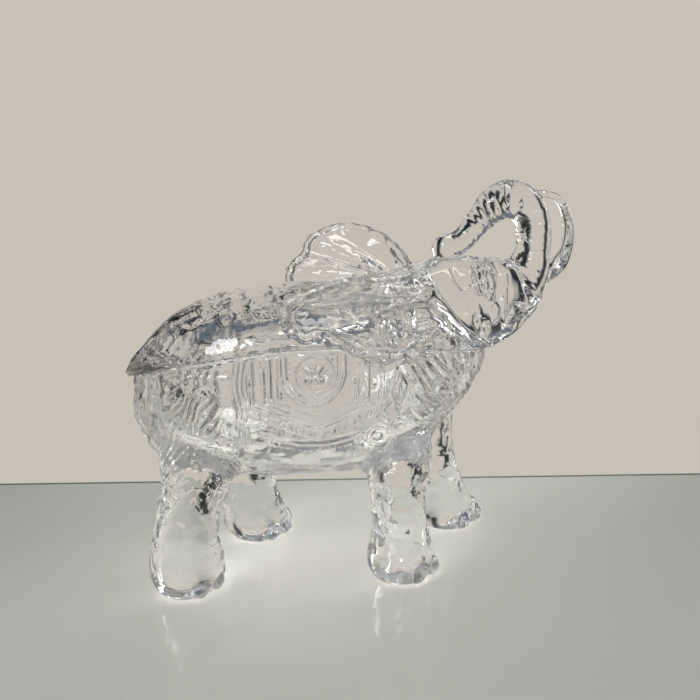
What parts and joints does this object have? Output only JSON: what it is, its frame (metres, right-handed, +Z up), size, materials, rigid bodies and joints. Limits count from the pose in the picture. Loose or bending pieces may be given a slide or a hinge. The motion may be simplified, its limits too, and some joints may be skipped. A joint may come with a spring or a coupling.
{
  "type": "lidded elephant dish",
  "caption": "Covered glass dish shaped as a walking elephant: a bowl on four legs and a lift-off back with head, flared ears and a trunk curled over the head.",
  "frame": {"origin": "centre of the bounding box in plan, on the surface that the feet stand on", "axes": "+X towards the head, +Y to the elephant's left, +Z up"},
  "size_m": [0.2182, 0.1268, 0.1896],
  "materials": {
    "crystal_glass": "clear, pressed and fire-polished"
  },
  "bodies": {
    "base": {"base": "crystal_glass"},
    "lid": {"lid": "crystal_glass"}
  },
  "joints": [
    {"name": "lid_lift", "type": "slide", "parent": "base", "child": "lid", "axis": [0, 0, 1], "range_m": [0, 0.09]}
  ]
}
